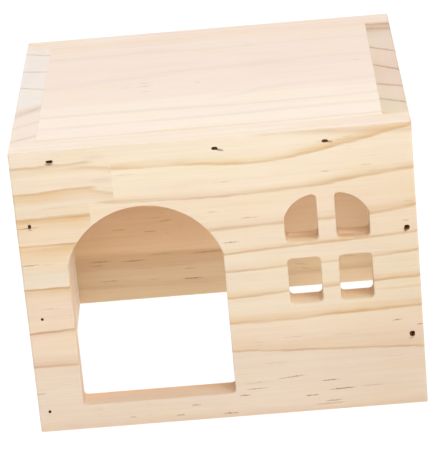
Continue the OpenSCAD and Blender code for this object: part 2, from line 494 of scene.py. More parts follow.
def ring_line(board, stations):
    """Where a ring lies across the board, at each place along it: a smooth curve through its stations."""
    recipe = board.recipe
    lengths = [along for along, across in stations]
    heights = [across for along, across in stations]
    low, span = min(heights), max(max(heights) - min(heights), LEAST_RISE)
    share = recipe.scale(board.along, lengths[0], lengths[-1])
    curve = recipe.node("ShaderNodeFloatCurve", {"Value": share})
    points = curve.mapping.curves[0].points
    while len(points) < len(stations):
        points.new(0.5, 0.5)
    for point, along, across in zip(points, lengths, heights):
        point.location = ((along - lengths[0]) / (lengths[-1] - lengths[0]), (across - low) / span)
    curve.mapping.update()
    return recipe.math("ADD", recipe.times(curve.outputs[0], span), low)


def lay_rings(board, wood, rings):
    """The wood with these growth rings on it."""
    recipe = board.recipe
    echo = recipe.group(RING_ECHOES, place=board.place)
    for ring in rings:
        leaning = recipe.times(board.through, ring.lean)
        line = recipe.math("ADD", ring_line(board, ring.line), leaning)
        distance = recipe.times(recipe.math("SUBTRACT", board.strayed, line), float(ring.fades))
        laid = recipe.group(
            GROWTH_RING, wood=wood, distance=distance, width=ring.width, softness=ring.softness,
            late_wood=ring.colour, band=ring.band, edge=ring.edge, echo=echo,
        )
        if ring.starts > -FAR or ring.ends < FAR:
            fade_out = max(LEAST_FADE_OUT, ring.fade_in)
            runs = recipe.times(
                recipe.ease(board.along, ring.starts, ring.starts + ring.fade_in),
                recipe.ease(board.along, ring.ends - fade_out, ring.ends, 1.0, 0.0),
            )
            laid = recipe.blend(runs, wood, laid)
        wood = laid
    return wood


STREAK_RAG = Layer((0.8, 3.0, 3.0), 0.9)


def lay_streaks(board, wood, streaks):
    """The wood with these resin streaks on it, their edges ragged."""
    recipe = board.recipe
    ragged = recipe.math("ADD", board.across, recipe.layer(board.place, STREAK_RAG))
    for streak in streaks:
        wood = recipe.group(
            RESIN_STREAK, wood=wood, along=board.along, across=ragged, middle=streak.along,
            height=streak.across, length=streak.length, thickness=streak.thickness, slope=streak.slope,
            strength=streak.strength,
        )
    return wood


# A dark fibre is browner: its red changes less than its green, and its blue more
RED_SWING, BLUE_SWING = 0.6, 1.5


def close_board(material, board, wood, fleck=0.35, fibre=0.055):
    """Adds the clouds, flecks, fibres and end grain to the wood, and gives it its surface."""
    recipe = board.recipe
    cloud = recipe.group(WOOD_CLOUDS, place=board.place)
    wood = recipe.blend(recipe.scale(cloud, 0.0, 1.0), wood, YELLOWER, "MULTIPLY")
    wood = recipe.blend(recipe.scale(cloud, 0.0, -1.0), wood, PINKER, "MULTIPLY")
    fibres = recipe.group(FIBRES, place=board.place)
    pores = recipe.group(END_PORES, place=board.place)
    grain = recipe.node("ShaderNodeMix", {0: board.end_grain, 2: fibres, 3: pores}).outputs[0]
    flecks = recipe.group(RESIN_FLECKS, place=board.place)
    flecks = recipe.times(flecks, fleck, recipe.math("SUBTRACT", 1.0, board.end_grain))
    wood = recipe.blend(flecks, wood, RESIN)
    shade = recipe.math("ADD", recipe.times(grain, fibre), 1.0)
    red, blue = recipe.math("POWER", shade, RED_SWING), recipe.math("POWER", shade, BLUE_SWING)
    shade = recipe.join(red, shade, blue)
    bump = recipe.node("ShaderNodeBump", {"Height": grain, "Strength": 0.35, "Distance": 0.04 * MM})
    recipe.surface({
        "Base Color": recipe.blend(1.0, wood, shade, "MULTIPLY"), "Normal": bump.outputs[0],
        "Roughness": recipe.scale(grain, -1.0, 1.0, 0.72, 0.6),
        "Specular IOR Level": 0.3,
    })
    return material


# ---- the front board's pine: two lengths of timber, joined end to end ----

# Both timbers of the front board darken towards the bottom, partly in their own tone and partly as painted
# shade
MAIN_TONES_AND_SHADE = (
    (0, BOTTOM_EDGE), (4, SAPWOOD_PINK), (25, SAPWOOD_PINK), (30, SAPWOOD_ROSE), (37, tint(237, 215, 189)),
    (46, SAPWOOD_GREY), (58, SAPWOOD_GREY), (66, tint(240, 221, 195)), (80, SAPWOOD_WARM),
    (90, tint(244, 222, 194)), (102, SAPWOOD_CREAM), (116, SAPWOOD_CREAM),
)
LEFT_TONES_AND_SHADE = (
    (0, BOTTOM_EDGE), (4, tint(231, 209, 187)), (20, tint(234, 213, 192)),
    (30, tint(233, 210, 184)), (38, tint(240, 216, 189)), (50, tint(239, 213, 187)),
    (56, tint(238, 212, 184)), (61, tint(240, 221, 197)), (66, tint(237, 219, 194)),
    (71, tint(240, 215, 184)), (84, tint(241, 217, 186)), (94, tint(240, 220, 193)),
    (105, tint(244, 224, 198)), (116, tint(246, 227, 203)),
)
MAIN_RINGS = (
    Ring(((5, 118), (23, 115.9), (45, 114.2), (66, 112.9), (75, 112.4)), 3.5, 0.45, 0.1, LATEWOOD_ROSE,
         softness=1.4),
    Ring(((-75, 107.5), (-36, 106.5), (-12.6, 106), (0, 105.2), (13, 104.5), (25, 105.3), (38, 107.1),
          (46.7, 108.7), (55.4, 110.4), (64, 112.4), (75, 114.8)), 3.2, 0.8, 0.3, LATEWOOD_GOLD),
    Ring(((15, 104.8), (25, 105.3), (38, 107.2), (46.7, 108.9), (55.4, 110.6), (64, 112.6), (75, 115)),
         4.6, 0.55, 0.1, LATEWOOD_ORANGE, softness=1.0, starts=18, fade_in=35),
    Ring(((-75, 93.4), (-46.9, 93.4), (-36, 92.9), (-14, 92.5), (0, 92.3), (20, 92.7), (36, 93.4), (47, 94.5),
          (55, 95.7), (64, 96.6), (75, 97.8)), 2.8, 0.5, 0.35, LATEWOOD_PEACH, softness=0.7, starts=-47,
         fade_in=9),
    Ring(((20, 92.7), (36, 93.4), (47, 94.5), (55, 95.7), (64, 96.6), (75, 97.8)), 4.0, 0.5, 0.1,
         LATEWOOD_AMBER, softness=0.9, starts=25, fade_in=25),
    Ring(((-75, 76), (-2.5, 78.6), (12, 79), (25, 79.3), (58, 80.5), (64, 81.1), (75, 82.4)), 4.2, 0.5, 0.35,
         LATEWOOD_PEACH, softness=0.7),
    Ring(((25, 79.5), (58, 80.6), (64, 81.2), (75, 82.5)), 4.0, 0.55, 0.15, LATEWOOD_ORANGE, softness=0.8,
         starts=42, fade_in=16),
    Ring(((-75, 66), (2, 68.4), (25, 69.6), (38, 70.1), (58, 70.9), (75, 71.6)), 2.8, 0.65, 0.4,
         softness=0.5),
    Ring(((-75, 59), (3, 61), (16, 61.5), (58, 63), (75, 64)), 2.6, 0.55, 0.4, softness=0.45),
    Ring(((-75, 49), (2.4, 50.2), (25, 51.3), (40, 52.2), (57, 52.9), (75, 53.5)), 3.6, 0.7, 0.4,
         softness=0.6),
    Ring(((25, 51.3), (40, 52.2), (57, 52.9), (75, 53.5)), 2.8, 0.5, 0.2, LATEWOOD_ORANGE, starts=30,
         fade_in=25),
    Ring(((45, 48), (57, 48.8), (75, 49.2)), 1.2, 0.4, 0.15, starts=50, fade_in=14, softness=0.5),
    Ring(((-75, 40), (2.4, 39.6), (20, 39.4), (38, 40.4), (56, 40.9), (75, 41.3)), 5.0, 0.8, 0.35,
         LATEWOOD_AMBER, softness=0.6),
    Ring(((-75, 30), (2.4, 28.1), (20, 26.8), (38, 25.9), (56, 25.2), (75, 24)), 6.5, 0.65, 0.5,
         LATEWOOD_PEACH, softness=0.45),
)
LEFT_RINGS = (
    Ring(((-75, 109.8), (-62, 109.9), (-52, 110.1), (-45, 110.7), (-37, 111.5)), 4.0, 0.65, 0.35,
         LATEWOOD_SAND, -1, ends=-42.5),
    Ring(((-56, 108.8), (-47, 108.6), (-37, 106.9)), 2.2, 0.6, 0.15, LATEWOOD_GOLD, -1, starts=-55,
         softness=0.8, fade_in=8),
    Ring(((-75, 99.3), (-62, 99.8), (-54, 100.3), (-43.5, 100.5), (-37, 100.6)), 5.6, 0.8, 0.3,
         LATEWOOD_ORANGE, -1, ends=-42, softness=0.5),
    Ring(((-50, 99.8), (-46, 99), (-37, 97.2)), 4.0, 0.6, 0.2, LATEWOOD_AMBER, -1, starts=-48.5,
         fade_in=6),
    Ring(((-75, 89.1), (-47, 89.4), (-37, 89.3)), 6.0, 0.85, 0.35, LATEWOOD_ORANGE, -1, softness=0.8),
    Ring(((-75, 78.5), (-37, 78.4)), 8.0, 0.85, 0.5, LATEWOOD_ORANGE, -1, softness=0.4),
    Ring(((-75, 60.6), (-37, 60.5)), 5.5, 0.85, 0.4, LATEWOOD_AMBER, -1, softness=0.5),
    Ring(((-75, 42.2), (-57, 42.9), (-37, 43)), 3.2, 0.7, 0.5, LATEWOOD_ROSE, -1, softness=0.45),
    Ring(((-75, 27.8), (-37, 27.8)), 4.6, 0.7, 0.4, LATEWOOD_ROSE, softness=0.5),
)
FRONT_STREAKS = (
    Streak(23.7, 15.5, 10, 0.08, 0.7), Streak(38, 12.9, 6.4, 0.02, 0.8), Streak(10, 11.6, 8, 0.02, 0.7),
    Streak(5, 9.2, 4, 0, 0.9), Streak(42.5, 8.9, 9.5, 0.03, 0.95), Streak(54, 9.3, 9, 0, 0.3),
    Streak(30.7, 7, 5, 0, 0.9), Streak(39.1, 4.1, 6, 0.03, 0.65), Streak(37, 2.9, 11, 0.02, 0.45),
    Streak(-1, 2.1, 5.6, -0.02, 0.85), Streak(10.5, 14.2, 10, 0.06, 0.25), Streak(44, 32, 7, 0, 0.2),
    Streak(26, 32.3, 8, 0, 0.25), Streak(63, 21, 9, 0, 0.15), Streak(18, 22, 9, 0.02, 0.15),
    Streak(-14, 6.7, 3.6, 0, 0.7), Streak(-20.6, 2.9, 3, 0, 0.7), Streak(-39, 3.7, 2.8, 0, 0.5),
    Streak(-1.1, 86.3, 4, 0, 0.4), Streak(12.3, 82.9, 6.5, 0, 0.45), Streak(4.8, 73.4, 5.8, 0.03, 0.6),
    Streak(57.4, 100.4, 4, 0, 0.4), Streak(42, 99, 3.4, 0, 0.4), Streak(65.1, 36, 3.6, 0.06, 0.7),
    Streak(74, 33.5, 2.6, 0, 0.9), Streak(70.7, 76.7, 2.6, 0, 0.4), Streak(-71.2, 85.6, 8, 0.02, 0.6),
    Streak(-71.4, 70.5, 7, 0.03, 0.65), Streak(-73.6, 16.6, 3.6, 0.02, 0.5), Streak(-33, 104, 9, 0, 0.15),
    Streak(3, 98, 7, 0, 0.15), Streak(-60, 93, 12, 0, 0.15), Streak(-66, 52, 8, 0, 0.2),
    Streak(-41, 102.5, 9, 0, 0.09, 2.6), Streak(-43, 112, 8, 0, 0.07, 2.4),
    # The last six dashes darken the wood just under six of the brad holes
    Streak(-60, 110.7, 3.2, 0, 0.8, 1.4), Streak(3.7, 110.8, 2.6, -0.3, 0.7, 1.4),
    Streak(44.4, 110.6, 2.2, -0.1, 0.6, 1.2), Streak(-69.8, 84.9, 1.6, 0, 0.4, 1.0),
    Streak(70.4, 72.4, 1.6, 0, 0.4, 1.4), Streak(70.2, 28, 1.8, 0, 0.4, 1.4),
)


# The timbers' joint steps to the right over TIMBER_STEP_Z, and widens into the wood over TIMBER_FADE_Z
TIMBER_JOINT_X, TIMBER_STEP_Z = (-46.9, -37.4), (94.2, 94.5)
TIMBER_JOINT_HALF, TIMBER_FADE_Z = (0.12, 14.0), (109, 115)
# The board's right end darkens over this length, and its top edge pales over this height
END_SHADE_X = (25, 66)
TOP_EDGE_Z = (BOX_H - 0.3, BOX_H - 0.05)
# The openings' walls lie within these distances of (0, CUT_MIDDLE_Z), and grow barer and darker over this
# depth, partly fresh-cut colour and partly painted shade
CUT_MIDDLE_Z = 52
CUT_HALF_X, CUT_HALF_Z = (68, 70), (48, 50)
CUT_AND_SHADE_DEPTH = (2.5, 9.8)
CUT_PATCHES = Layer((0.05, 0.3, 0.9), 1.3)


def bare_and_shaded_cuts(board, wood):
    """The wood with the openings' walls in the colour of a fresh cut, in patches, deepening towards the back
    partly as painted shade.
    """
    recipe = board.recipe
    aside = recipe.math("ABSOLUTE", board.along)
    away = recipe.math("ABSOLUTE", recipe.math("SUBTRACT", board.across, CUT_MIDDLE_Z))
    cut = recipe.times(
        recipe.ease(aside, *CUT_HALF_X, 1.0, 0.0), recipe.ease(away, *CUT_HALF_Z, 1.0, 0.0),
        recipe.math("SUBTRACT", 1.0, board.flat_face),
    )
    patches = recipe.layer(board.place, CUT_PATCHES)
    # Deeper colour from the front to the back of each opening: partly fresh-cut wood and partly painted shade
    bared_and_shaded = recipe.math("ADD", recipe.ease(board.through, *CUT_AND_SHADE_DEPTH, 0.05, 0.7), patches, clamp=True)
    return recipe.blend(recipe.times(cut, bared_and_shaded), wood, CUT_PEACH)


def front_pine():
    material, board = open_board("front pine", X, Z, Y, FRONT_Y, 0)
    recipe = board.recipe
    main = lay_rings(board, tones(board, MAIN_TONES_AND_SHADE), MAIN_RINGS)
    left = lay_rings(board, tones(board, LEFT_TONES_AND_SHADE), LEFT_RINGS)
    joint_x = recipe.ease(board.across, *TIMBER_STEP_Z, *TIMBER_JOINT_X)
    joint_half = recipe.ease(board.across, *TIMBER_FADE_Z, *TIMBER_JOINT_HALF)
    past_joint = recipe.math("DIVIDE", recipe.math("SUBTRACT", board.along, joint_x), joint_half)
    wood = recipe.blend(recipe.ease(past_joint, -1.0, 1.0), left, main)
    wood = recipe.blend(recipe.ease(board.along, *END_SHADE_X), wood, BOARD_END_SHADE, "MULTIPLY")
    wood = lay_streaks(board, wood, FRONT_STREAKS)
    wood = bare_and_shaded_cuts(board, wood)
    wood = recipe.blend(recipe.ease(board.across, *TOP_EDGE_Z, 0.0, 0.82), wood, TOP_EDGE_CREAM)
    return close_board(material, board, wood, fleck=0.25, fibre=0.075)


# ---- the back board's pine: its inner face is the heart side, darker and streaked ----

BACK_TONES = (
    (0, tint(240, 218, 194)), (30, tint(243, 221, 196)), (60, tint(246, 226, 202)),
    (90, tint(247, 228, 208)), (116, tint(249, 229, 212)),
)
# Above its dark band the heart side darkens upwards, partly in the wood's own tone and partly as painted
# shade
HEART_TONES_AND_SHADE = (
    (0, tint(228, 202, 164)), (13, tint(228, 201, 163)), (16, tint(222, 188, 150)),
    (20, tint(223, 189, 150)), (22, tint(241, 210, 173)), (29, tint(236, 200, 161)),
    (36, tint(233, 195, 156)), (80, tint(237, 201, 161)), (116, tint(239, 209, 174)),
)
HEART_LIGHT = tint(250, 227, 193)
BACK_RINGS = (
    Ring(((-75, 97), (0, 96), (75, 99)), 5.0, 0.6, 0.3, lean=-0.2, softness=1.2),
    Ring(((-75, 80), (-30, 83), (20, 84), (75, 81)), 4.0, 0.6, 0.25, LATEWOOD_ROSE, lean=-0.2, softness=1.2),
    Ring(((-75, 63), (-20, 67), (30, 67), (75, 64)), 4.0, 0.6, 0.3, lean=-0.2, softness=1.2),
    Ring(((-75, 45), (-25, 50), (25, 50), (75, 46)), 3.0, 0.45, 0.3, lean=-0.2, softness=1.2),
    Ring(((-75, 35), (-20, 39), (30, 38), (75, 36)), 3.5, 0.25, 0.1, LATEWOOD_ROSE, lean=-0.2, softness=1.8,
         ends=25),
    Ring(((-75, 21.4), (-54, 21.2), (-11, 19.4), (75, 17)), 5.0, 0.45, 0.15, LATEWOOD_AMBER, -1, -0.1, 1.3),
    Ring(((-75, 6), (0, 4), (75, 6)), 4.0, 0.3, 0.2, LATEWOOD_ROSE, lean=-0.2, softness=1.5),
)
BACK_STREAKS = (
    Streak(-51, 9.4, 8, 0, 0.5, 0.5), Streak(-15.5, 7.8, 8, -0.02, 0.9, 0.6),
    Streak(-16.4, 12.5, 5, 0, 0.35, 0.6), Streak(-32, 8.6, 4, 0, 0.25, 0.5),
    Streak(-40, 18, 10, 0, 0.5, 0.8), Streak(-54.5, 18.7, 9, 0, 0.45, 0.9), Streak(-56, 16.9, 6, 0, 0.5, 0.6),
    Streak(-45, 32.7, 6, 0, 0.35, 0.7), Streak(-32, 31, 5, 0, 0.4, 0.7),
    Streak(-25, 35.5, 6, 0.1, 0.35, 0.7), Streak(-29, 37, 5, 0.05, 0.2, 0.6),
    Streak(33, 8.2, 5, -0.3, 0.3, 0.6), Streak(31, 10.4, 5, -0.15, 0.25, 0.6), Streak(52, 12.4, 5, 0, 0.3),
    Streak(-8, 19.5, 13, 0.02, 0.4, 0.8), Streak(-28, 20.2, 12, 0, 0.35, 0.6),
    Streak(-22, 14.6, 14, 0, 0.25, 0.5), Streak(-36, 14.2, 10, 0, 0.25, 0.5),
)


# The heart side fades out over these stretches through and up the board, and its right end is lighter: along
# the board its colour changes over LIGHT_END_X, and up the board back again over LIGHT_END_Z
HEART_DEPTH, HEART_TOP_Z = (-9.6, -5.5), (106, 112)
LIGHT_END_X, LIGHT_END_Z = (12, 55), (35, 55)


def back_pine():
    material, board = open_board("back pine", X, Z, Y, BACK_Y, 1)
    recipe = board.recipe
    right_end = recipe.times(
        recipe.ease(board.along, *LIGHT_END_X, 0.0, 0.7), recipe.ease(board.across, *LIGHT_END_Z, 1.0, 0.0),
    )
    heart = recipe.blend(right_end, tones(board, HEART_TONES_AND_SHADE), HEART_LIGHT)
    heart_side = recipe.times(
        recipe.ease(board.through, *HEART_DEPTH, 1.0, 0.0), recipe.ease(board.across, *HEART_TOP_Z, 1.0, 0.0),
    )
    ground = recipe.blend(heart_side, tones(board, BACK_TONES), heart)
    wood = lay_rings(board, ground, BACK_RINGS)
    wood = lay_streaks(board, wood, BACK_STREAKS)
    return close_board(material, board, wood, fleck=0.45, fibre=0.085)


# ---- the side boards' pine: the grain stands upright, so end grain shows on top ----

LEFT_SIDE_TONES = ((-65, tint(247, 230, 210)), (-15, tint(246, 230, 211)), (-12, tint(245, 231, 214)),
                   (65, tint(247, 231, 212)))
LEFT_END_TONES = ((-65, tint(248, 231, 217)), (-17, tint(247, 231, 217)), (-13, tint(245, 235, 226)),
                  (65, tint(246, 235, 224)))
LEFT_SIDE_RINGS = (
    Ring(((0, 45.6), (60, 46.8), (116, 47.5)), 1.8, 0.5, 0.3, LATEWOOD_GREY, lean=-0.35, softness=0.75),
    Ring(((0, 25), (60, 25.8), (116, 26.3)), 1.8, 0.45, 0.3, LATEWOOD_GREY, lean=-0.25, softness=0.75),
    Ring(((0, 5), (60, 5.6), (116, 6.2)), 1.8, 0.5, 0.25, LATEWOOD_GREY, lean=-0.42, softness=0.75),
    Ring(((0, -22.5), (60, -22), (116, -21)), 7.0, 0.9, 0.1, SIDE_SAND, lean=0.85, softness=1.5),
    Ring(((0, -22.5), (60, -22), (116, -21)), 5.0, 0.6, 0.1, SIDE_SAND, -1, 0.85, 1.5),
    Ring(((0, -37), (116, -36)), 3.0, 0.3, 0.1, LATEWOOD_SAND, lean=0.6, softness=1.2),
    Ring(((0, -52), (116, -51)), 3.5, 0.6, 0.15, SIDE_SAND, lean=0.5, softness=1.0),
)
RIGHT_SIDE_TONES = ((-65, tint(246, 227, 202)), (0, tint(243, 222, 200)), (42, tint(242, 220, 198)),
                    (46, tint(238, 212, 188)), (65, tint(240, 215, 192)))
RIGHT_END_TONES = ((-65, tint(241, 220, 195)), (-45, tint(231, 212, 188)), (-30, tint(235, 213, 195)),
                   (-5, tint(231, 206, 188)), (10, tint(237, 212, 193)), (32, tint(235, 216, 199)),
                   (41, tint(230, 210, 190)), (44, tint(220, 192, 171)), (51.5, tint(220, 191, 170)),
                   (54, tint(241, 215, 193)), (65, tint(244, 224, 206)))
RIGHT_SIDE_RINGS = (
    Ring(((0, 51), (116, 52)), 1.6, 0.5, 0.5, LATEWOOD_ROSE, -1, -0.15, 0.8),
    Ring(((0, 44.5), (116, 45.5)), 1.8, 0.6, 0.6, LATEWOOD_ROSE, lean=-0.15, softness=0.8),
    Ring(((0, 18), (116, 19)), 2.6, 0.7, 0.6, SIDE_LATEWOOD, lean=-0.7, softness=0.8),
    Ring(((0, -4), (116, -3)), 3.2, 0.75, 0.55, SIDE_LATEWOOD, lean=-0.8, softness=0.8),
    Ring(((0, -25), (116, -24)), 3.4, 0.7, 0.45, SIDE_LATEWOOD, lean=-0.5, softness=1.0),
    Ring(((0, -42.5), (116, -41.5)), 2.8, 0.75, 0.5, SIDE_LATEWOOD, lean=-0.6, softness=0.8),
    Ring(((0, -58), (116, -57)), 2.4, 0.4, 0.2, LATEWOOD_AMBER, lean=-0.6, softness=0.9),
)


# From a side board's middle, the stretch over which its olive fades out
OLIVE_DEPTH = (-4, 2)


def side_pine(name, middle_x, long_tones, end_tones, rings, seed, olive=0.0):
    """A side board's finish. olive says how far it greens towards the left, which is inwards on the right."""
    material, board = open_board(name, Z, Y, X, middle_x, seed)
    recipe = board.recipe
    ground = recipe.blend(board.end_grain, tones(board, long_tones), tones(board, end_tones))
    greener = recipe.ease(board.through, *OLIVE_DEPTH, olive, 0.0)
    ground = recipe.blend(greener, ground, SIDE_OLIVE, "MULTIPLY")
    wood = lay_rings(board, ground, rings)
    return close_board(material, board, wood)


# ---- the roof board's pine ----

ROOF_TONES = (
    (-55, tint(253, 238, 222)), (-22, tint(252, 237, 222)), (-16, tint(250, 232, 218)),
    (15, tint(248, 229, 215)), (46, tint(249, 230, 216)), (55, tint(248, 226, 205)),
)
ROOF_RINGS = (
    Ring(((-65, 37), (-40, 38.5), (0, 38.5), (30, 40), (65, 38.5)), 4.0, 0.16, 0.0, LATEWOOD_GREY, -1,
         softness=2.4),
    Ring(((-65, 38.5), (-40, 39.5), (-15, 39.5)), 3.2, 0.28, 0.0, LATEWOOD_GOLD, softness=1.6, ends=5,
         fade_in=30),
    Ring(((-65, 4), (-53, 6.3), (-22, 12.2), (-2, 14.8), (24, 17.4), (65, 18)), 6.0, 0.22, 0.0,
         LATEWOOD_GREY, -1, softness=2.8),
    Ring(((-10, -22), (8, -19.8), (24, -13.3), (37, -11.3), (65, -10.4)), 4.5, 0.22, 0.0, LATEWOOD_GREY, -1,
         softness=2.0, starts=-4, fade_in=12),
    Ring(((-65, -29.6), (-37, -30.3), (-7, -31), (13, -31.6), (65, -29)), 3.4, 0.26, 0.08, LATEWOOD_GREY,
         softness=1.3),
    Ring(((-65, -42.6), (-27, -42.6), (3, -42.4), (33, -41), (65, -40.4)), 3.0, 0.22, 0.05, LATEWOOD_GREY,
         softness=1.5),
    Ring(((-65, -54.6), (-37, -54.4), (8, -54), (33, -53.8), (65, -52.8)), 2.2, 0.42, 0.1, LATEWOOD_SAND,
         softness=1.0),
)
ROOF_STREAKS = (
    Streak(-32, -2, 4, 0, 0.35), Streak(-25, -1.9, 6.5, 0.03, 0.5), Streak(-24.5, -8, 5, 0.03, 0.35),
    Streak(-25, 2, 4, 0.03, 0.3), Streak(-4, -2, 2, 0, 0.4), Streak(59, 9.5, 4, 0, 0.4),
    Streak(16, 41.5, 3, 0, 0.3), Streak(16.5, 38.5, 3, 0, 0.3),
)


def roof_pine():
    material, board = open_board("roof pine", X, Y, Z, BOX_H, 4)
    wood = lay_rings(board, tones(board, ROOF_TONES), ROOF_RINGS)
    wood = lay_streaks(board, wood, ROOF_STREAKS)
    return close_board(material, board, wood, fleck=0.1, fibre=0.05)


# ---- crushed wood in the brad holes, and the brads' wire ----

def hole_finish():
    """Brown crushed fibres round a brad head."""
    material, recipe = open_material("crushed wood of the brad holes")
    mottle = recipe.noise(recipe.place(), (2.0, 2.0, 2.0), 3.0)
    recipe.surface({
        "Base Color": recipe.blend(recipe.ease(mottle, 0.35, 0.7), HOLE_BROWN, HOLE_TAN),
        "Roughness": recipe.scale(mottle, 0.3, 0.7, 0.7, 0.9),
        "Specular IOR Level": 0.2,
    })
    return material


def wire_finish():
    """Dull brown-grey steel wire, stained in patches and finely pitted."""
    material, recipe = open_material("dull brad wire")
    place = recipe.place()
    stains = recipe.noise(place, (0.8, 0.8, 0.8), 3.0)
    pits = recipe.noise(place, (6.0, 6.0, 6.0), 2.0)
    bump = recipe.node("ShaderNodeBump", {"Height": pits, "Strength": 0.3, "Distance": 0.02 * MM})
    recipe.surface({
        "Base Color": recipe.blend(recipe.ease(stains, 0.4, 0.65), WIRE_GREY, WIRE_STAIN),
        "Metallic": 0.9, "Normal": bump.outputs[0],
        "Roughness": recipe.scale(stains, 0.3, 0.7, 0.4, 0.6),
    })
    return material


# ---- boards ----

# Points this close are one point, points this close to a cut lie on it, and faces this little apart are one
SAME_POINT = 0.002
ON_CUT = 0.001
SAME_PLANE = math.radians(1)


def add_object(name, data):
    """A new object in the scene, at the origin."""
    made = bpy.data.objects.new(name, data)
    bpy.context.scene.collection.objects.link(made)
    return made


def board_solid(node, rows):
    """A board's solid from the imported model, its triangles joined into flat faces between level cuts.

    A cut runs through each brad hole, so that no face goes all the way round an opening.
    """
    work = bmesh.new()
    work.from_mesh(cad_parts[node].data)
    bmesh.ops.remove_doubles(work, verts=work.verts, dist=SAME_POINT * MM)
    for height in sorted({place[2] for row in rows for place in row.places}):
        everything = work.verts[:] + work.edges[:] + work.faces[:]
        cut = bmesh.ops.bisect_plane(work, geom=everything, dist=ON_CUT * MM, plane_co=(0, 0, height * MM),
                                     plane_no=UPRIGHT)
        for part in cut["geom_cut"]:
            if isinstance(part, bmesh.types.BMEdge):
                part.seam = True
    bmesh.ops.dissolve_limit(work, angle_limit=SAME_PLANE, verts=work.verts, edges=work.edges,
                             delimit={"SEAM"})
    return work


def off_axis(point, place, into):
    """How deep a point lies under a brad's place, and how far it is from the brad's line."""
    arm = point - place * MM
    depth = arm.dot(into)
    return depth, arm - into * depth


def near_brad(point, rows, reach, depth_from):
    """Whether a point lies within reach of the line of one of these brads, and deeper than depth_from."""
    for row in rows:
        for place in row.places:
            depth, arm = off_axis(point, place, row.into)
            if depth > depth_from * MM and arm.length < reach * MM:
                return True
    return False


def mouth_reach(mouth, angle, chance):
    """Distance from a hole's middle to its torn edge, at that angle in the wood's surface."""
    flat = abs(math.cos(angle) / (mouth.width / 2)) ** MOUTH_SQUARENESS
    upright = abs(math.sin(angle) / (mouth.height / 2)) ** MOUTH_SQUARENESS
    reach = (flat + upright) ** (-1 / MOUTH_SQUARENESS)
    away = math.remainder(angle - math.radians(mouth.tail_angle), math.tau)
    if mouth.tail > reach:
        reach += (mouth.tail - reach) * math.exp(-((away / TAIL_SPREAD) ** 2))
    return reach * chance.uniform(TEAR_LEAST, TEAR_MOST)


def tear_mouth(work, row, place, mouth, chance):
    """Gives one brad hole its torn edge at the surface."""
    def at_mouth(vert):
        depth, arm = off_axis(vert.co, place, row.into)
        return abs(depth) < MOUTH_DEPTH * MM and arm.length < MOUTH_REACH * MM
    edges = [edge for edge in work.edges if all(at_mouth(vert) for vert in edge.verts)]
    bmesh.ops.subdivide_edges(work, edges=edges, cuts=MOUTH_CUTS)
    side = ENDWAYS if row.into.x else ACROSS
    middle = place * MM
    for vert in [vert for vert in work.verts if at_mouth(vert)]:
        depth, arm = off_axis(vert.co, place, row.into)
        angle = math.atan2(arm.dot(UPRIGHT), arm.dot(side))
        reach = mouth_reach(mouth, angle, chance) * MM
        across = math.cos(angle) * reach + mouth.shift[0] * MM
        rise = math.sin(angle) * reach + mouth.shift[1] * MM
        vert.co = middle + side * across + UPRIGHT * rise


def arris_weight(edge, rows):
    """How far sanding rounds an edge, as a share of ARRIS: not at all where it is blunt or by a brad."""
    middle = (edge.verts[0].co + edge.verts[1].co) / 2
    if edge.calc_face_angle(0) < SHARP_EDGE or near_brad(middle, rows, UNSANDED_REACH, UNSANDED_DEPTH):
        return 0.0
    x, y, z = middle / MM
    at_side = abs(x) > RIGHT_X - JOINT_BAND or abs(y) > BACK_Y - JOINT_BAND
    at_joint = at_side or not JOINT_BAND <= z <= BOX_H - JOINT_BAND
    inset = abs(x) < RIGHT_X - OPENING_INSET and OPENING_INSET < z < BOX_H - OPENING_INSET
    at_opening = y < FRONT_Y + FLUSH and inset
    return JOINT_ARRIS / ARRIS if at_joint and not at_opening else 1.0


def make_plain(piece):
    """Turns a piece with its modifiers into a plain mesh."""
    shape = piece.evaluated_get(bpy.context.evaluated_depsgraph_get())
    mesh = bpy.data.meshes.new_from_object(shape)
    piece.modifiers.clear()
    piece.data = mesh
    mesh.name = piece.name


def sand(piece):
    """Rounds a board's edges by their weights, and draws back a corner that this throws out past the box."""
    arris = piece.modifiers.new("Arris", "BEVEL")
    arris.limit_method = "WEIGHT"
    arris.width = ARRIS * MM
    arris.segments = ARRIS_STEPS
    flats = piece.modifiers.new("Flat faces", "WEIGHTED_NORMAL")
    flats.keep_sharp = True
    make_plain(piece)
    for vert in piece.data.vertices:
        vert.co = [min(max(part, low), high) for part, low, high in zip(vert.co, *cad_box)]


def make_board(node, pine, crushed_wood):
    """A board with its edges sanded and its brad holes torn."""
    name = "pine_" + node
    rows = [row for row in BRAD_ROWS if row.board == node]
    work = board_solid(node, rows)
    chance = random.Random(len(name))
    for row in rows:
        for place, mouth in zip(row.places, row.mouths):
            tear_mouth(work, row, place, mouth, chance)
    weights = work.edges.layers.float.new("bevel_weight_edge")
    for edge in work.edges:
        edge.smooth = edge.calc_face_angle(0) < SHARP_EDGE
        edge[weights] = arris_weight(edge, rows)
    for face in work.faces:
        face.smooth = True
        face.material_index = int(near_brad(face.calc_center_median(), rows, HOLE_REACH, HOLE_DEPTH))
    mesh = bpy.data.meshes.new(name)
    work.to_mesh(mesh)
    work.free()
    mesh.materials.append(pine)
    mesh.materials.append(crushed_wood)
    piece = add_object(name, mesh)
    sand(piece)
    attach(piece, "root")
    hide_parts(node)


# ---- brads, made by Geometry Nodes at the points of each row ----

BRAD_SIZES = {
    "Head width": HEAD_W, "Head height": HEAD_H, "Wire width": WIRE_W, "Wire thickness": WIRE_T,
    "Length": BRAD_LEN, "Point length": POINT_LEN, "Sink": BRAD_SINK,
}


